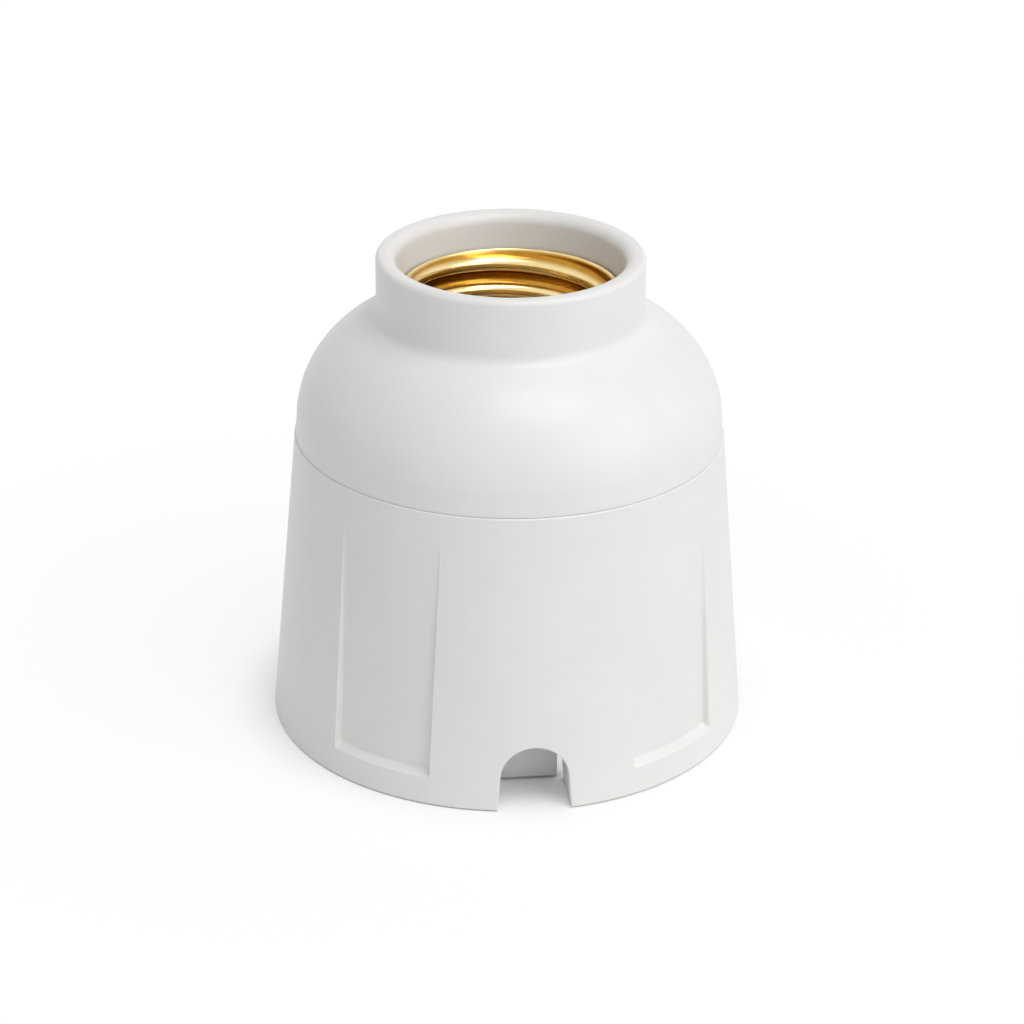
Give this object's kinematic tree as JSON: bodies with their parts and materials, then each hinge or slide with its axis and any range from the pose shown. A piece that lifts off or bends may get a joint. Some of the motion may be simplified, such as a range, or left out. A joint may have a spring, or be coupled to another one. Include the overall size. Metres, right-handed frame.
{
  "type": "lamp holder",
  "caption": "Surface-mounted lamp holder: tapered base with a side cable notch, domed screw-on cover, brass screw shell for an E27 lamp.",
  "frame": {"origin": "middle of the foot, on the lamp axis", "axes": "+Z along the lamp axis, out of the socket; -Y towards the cable notch; X through the two fixing holes"},
  "size_m": [0.062, 0.0616, 0.0628],
  "materials": {
    "shell_plastic": "smooth moulded white thermoset, satin gloss",
    "cover_plastic": "smooth moulded white thermoset, satin gloss",
    "brass": "thin drawn brass, bright on the crests",
    "steatite": "unglazed pressed steatite",
    "spring_bronze": "stamped phosphor bronze strip",
    "contact_brass": "turned brass",
    "rivet_brass": "formed brass",
    "screw_steel": "zinc-plated steel"
  },
  "bodies": {
    "base": {"base": "shell_plastic", "contact_carrier": "steatite", "centre_contact": "spring_bronze", "side_contact": "spring_bronze", "live_terminal_nut": "contact_brass", "neutral_terminal_nut": "contact_brass", "centre_contact_rivet": "rivet_brass", "side_contact_rivet": "rivet_brass", "carrier_screws": "screw_steel"},
    "screw_shell": {"screw_shell": "brass"},
    "cover": {"cover": "cover_plastic"},
    "centre_button": {"centre_button": "contact_brass"},
    "live_clamp": {"live_clamp_washer": "screw_steel"},
    "live_screw": {"live_terminal_screw": "screw_steel"},
    "neutral_clamp": {"neutral_clamp_washer": "screw_steel"},
    "neutral_screw": {"neutral_terminal_screw": "screw_steel"}
  },
  "joints": [
    {"name": "cover_rise", "type": "slide", "parent": "base", "child": "screw_shell", "axis": [0, 0, 1], "range_m": [0, 0.006]},
    {"name": "cover_turn", "type": "hinge", "parent": "screw_shell", "child": "cover", "pos_m": [0, 0, 0.03], "axis": [0, 0, 1], "range_deg": [0, 720]},
    {"name": "centre_button_press", "type": "slide", "parent": "base", "child": "centre_button", "axis": [0, 0, 1], "range_m": [-0.0015, 0], "stiffness_N_per_m": 2000, "springref_m": 0.0005, "deforming": ["centre_contact"]},
    {"name": "live_clamp_lift", "type": "slide", "parent": "base", "child": "live_clamp", "axis": [0, 0, 1], "range_m": [0, 0.0024]},
    {"name": "live_screw_turn", "type": "hinge", "parent": "live_clamp", "child": "live_screw", "pos_m": [0, -0.017, 0.028], "axis": [0, 0, 1], "range_deg": [0, 1440]},
    {"name": "neutral_clamp_lift", "type": "slide", "parent": "base", "child": "neutral_clamp", "axis": [0, 0, 1], "range_m": [0, 0.0024]},
    {"name": "neutral_screw_turn", "type": "hinge", "parent": "neutral_clamp", "child": "neutral_screw", "pos_m": [0, 0.017, 0.028], "axis": [0, 0, 1], "range_deg": [0, 1440]}
  ],
  "couplings": [
    {"joint": "cover_rise", "follows": "cover_turn", "m_per_rad": 0.000477},
    {"joint": "live_screw_turn", "follows": "live_clamp_lift", "rad_per_m": 10470},
    {"joint": "neutral_screw_turn", "follows": "neutral_clamp_lift", "rad_per_m": 10470}
  ]
}
